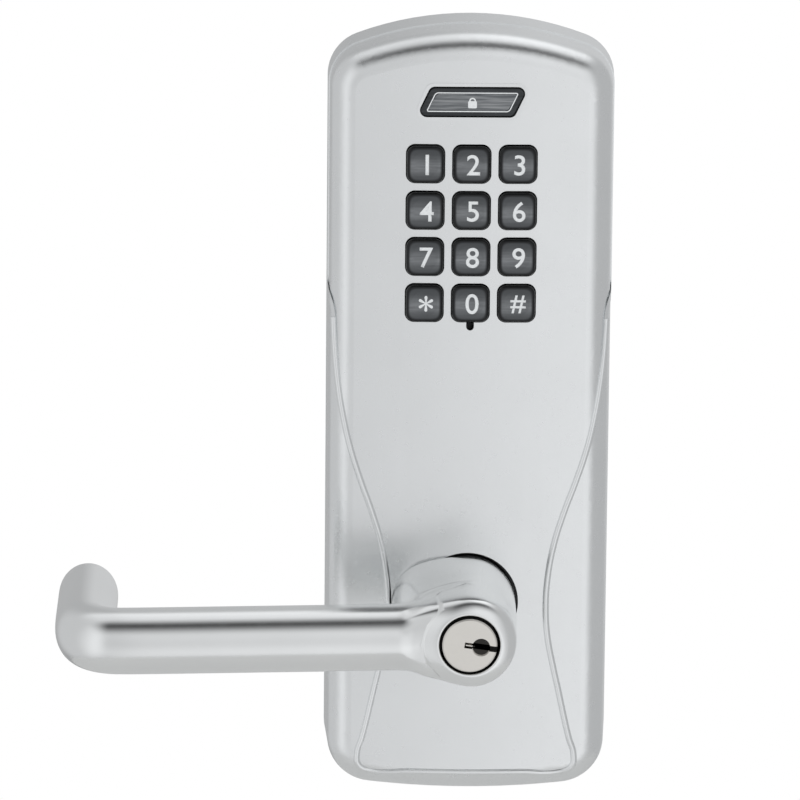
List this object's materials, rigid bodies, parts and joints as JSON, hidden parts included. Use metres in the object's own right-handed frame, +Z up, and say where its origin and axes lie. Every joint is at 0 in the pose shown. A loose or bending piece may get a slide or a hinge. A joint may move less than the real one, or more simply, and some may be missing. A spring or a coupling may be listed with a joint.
{
  "type": "keypad smart lock",
  "caption": "Exterior trim of a keypad door lock: tall arched metal case with a square-button keypad, a status button, and a return lever that holds a key cylinder.",
  "frame": {"origin": "lever axis where it meets the door face", "axes": "+Z up the door, +X to the right of a person facing the lock, -Y out of the door towards that person"},
  "size_m": [0.1722, 0.1235, 0.2446],
  "materials": {
    "satin_chrome": "satin",
    "cylinder_nickel": "satin",
    "plated_steel": "zinc plated",
    "spring_steel": "oil blackened",
    "turned_brass": "turned",
    "key_metal": "satin",
    "gasket_rubber": "matt",
    "acetal_black": "matt",
    "board_laminate": "solder mask",
    "silicone_grey": "matt",
    "clear_plastic": "moulded",
    "chip_black": "moulded",
    "connector_white": "moulded"
  },
  "bodies": {
    "case": {"front_housing": "satin_chrome", "mounting_gasket": "gasket_rubber", "backplate": "plated_steel", "mounting_posts": "plated_steel", "case_screws": "plated_steel", "cable_grommet": "gasket_rubber", "keypad_frame": "acetal_black", "keypad_board": "board_laminate", "board_screws": "plated_steel", "dome_switches": "plated_steel", "backlight_leds": "connector_white", "keymat": "silicone_grey", "light_pipes": "clear_plastic", "buzzer": "chip_black", "controller_chip": "chip_black", "harness_socket": "connector_white", "lever_bushing": "acetal_black", "thrust_washer": "spring_steel", "spring_cage": "plated_steel", "return_spring": "spring_steel", "lock_motor": "plated_steel", "motor_bracket": "plated_steel", "motor_screws": "plated_steel"},
    "lever": {"lever_handle": "satin_chrome", "retaining_ring": "spring_steel", "drive_hub": "plated_steel", "lever_screw": "spring_steel", "spindle": "plated_steel", "cylinder_shell": "turned_brass", "cylinder_holder": "acetal_black", "driver_pins": "turned_brass", "pin_springs": "spring_steel"},
    "key_plug": {"cylinder_plug": "cylinder_nickel", "key_pins": "turned_brass", "tailpiece": "turned_brass", "cylinder_retainer": "spring_steel"},
    "clutch_collar": {"clutch_collar": "plated_steel"},
    "clutch_fork": {"clutch_fork": "plated_steel"},
    "drive_screw": {"drive_screw": "turned_brass"},
    "key_1": {"key_1": "key_metal"},
    "key_2": {"key_2": "key_metal"},
    "key_3": {"key_3": "key_metal"},
    "key_4": {"key_4": "key_metal"},
    "key_5": {"key_5": "key_metal"},
    "key_6": {"key_6": "key_metal"},
    "key_7": {"key_7": "key_metal"},
    "key_8": {"key_8": "key_metal"},
    "key_9": {"key_9": "key_metal"},
    "key_star": {"key_star": "key_metal"},
    "key_0": {"key_0": "key_metal"},
    "key_hash": {"key_hash": "key_metal"},
    "status_button": {"status_button": "key_metal"}
  },
  "joints": [
    {"name": "lever_turn", "type": "hinge", "parent": "case", "child": "lever", "pos_m": [0, 0, 0], "axis": [0, -1, 0], "range_deg": [-45, 45], "stiffness_Nm_per_rad": 3.3, "springref_deg": -4.3, "deforming": ["return_spring"]},
    {"name": "plug_turn", "type": "hinge", "parent": "lever", "child": "key_plug", "pos_m": [0, -0.06, 0], "axis": [0, -1, 0], "range_deg": [-90, 90]},
    {"name": "screw_turn", "type": "hinge", "parent": "case", "child": "drive_screw", "pos_m": [0.0315, -0.01, 0], "axis": [0, 1, 0], "range_deg": [0, 1440]},
    {"name": "fork_slide", "type": "slide", "parent": "case", "child": "clutch_fork", "axis": [0, 1, 0], "range_m": [0, 0.002]},
    {"name": "collar_slide", "type": "slide", "parent": "lever", "child": "clutch_collar", "axis": [0, 1, 0], "range_m": [0, 0.002]},
    {"name": "key_1_press", "type": "slide", "parent": "case", "child": "key_1", "axis": [0, 1, 0], "range_m": [0, 0.0012], "stiffness_N_per_m": 1500, "springref_m": -0.0005},
    {"name": "key_2_press", "type": "slide", "parent": "case", "child": "key_2", "axis": [0, 1, 0], "range_m": [0, 0.0012], "stiffness_N_per_m": 1500, "springref_m": -0.0005},
    {"name": "key_3_press", "type": "slide", "parent": "case", "child": "key_3", "axis": [0, 1, 0], "range_m": [0, 0.0012], "stiffness_N_per_m": 1500, "springref_m": -0.0005},
    {"name": "key_4_press", "type": "slide", "parent": "case", "child": "key_4", "axis": [0, 1, 0], "range_m": [0, 0.0012], "stiffness_N_per_m": 1500, "springref_m": -0.0005},
    {"name": "key_5_press", "type": "slide", "parent": "case", "child": "key_5", "axis": [0, 1, 0], "range_m": [0, 0.0012], "stiffness_N_per_m": 1500, "springref_m": -0.0005},
    {"name": "key_6_press", "type": "slide", "parent": "case", "child": "key_6", "axis": [0, 1, 0], "range_m": [0, 0.0012], "stiffness_N_per_m": 1500, "springref_m": -0.0005},
    {"name": "key_7_press", "type": "slide", "parent": "case", "child": "key_7", "axis": [0, 1, 0], "range_m": [0, 0.0012], "stiffness_N_per_m": 1500, "springref_m": -0.0005},
    {"name": "key_8_press", "type": "slide", "parent": "case", "child": "key_8", "axis": [0, 1, 0], "range_m": [0, 0.0012], "stiffness_N_per_m": 1500, "springref_m": -0.0005},
    {"name": "key_9_press", "type": "slide", "parent": "case", "child": "key_9", "axis": [0, 1, 0], "range_m": [0, 0.0012], "stiffness_N_per_m": 1500, "springref_m": -0.0005},
    {"name": "key_star_press", "type": "slide", "parent": "case", "child": "key_star", "axis": [0, 1, 0], "range_m": [0, 0.0012], "stiffness_N_per_m": 1500, "springref_m": -0.0005},
    {"name": "key_0_press", "type": "slide", "parent": "case", "child": "key_0", "axis": [0, 1, 0], "range_m": [0, 0.0012], "stiffness_N_per_m": 1500, "springref_m": -0.0005},
    {"name": "key_hash_press", "type": "slide", "parent": "case", "child": "key_hash", "axis": [0, 1, 0], "range_m": [0, 0.0012], "stiffness_N_per_m": 1500, "springref_m": -0.0005},
    {"name": "status_button_press", "type": "slide", "parent": "case", "child": "status_button", "axis": [0, 1, 0], "range_m": [0, 0.0012], "stiffness_N_per_m": 1500, "springref_m": -0.0005}
  ],
  "couplings": [
    {"joint": "screw_turn", "follows": "fork_slide", "rad_per_m": 12566},
    {"joint": "collar_slide", "follows": "fork_slide", "ratio": 1}
  ]
}
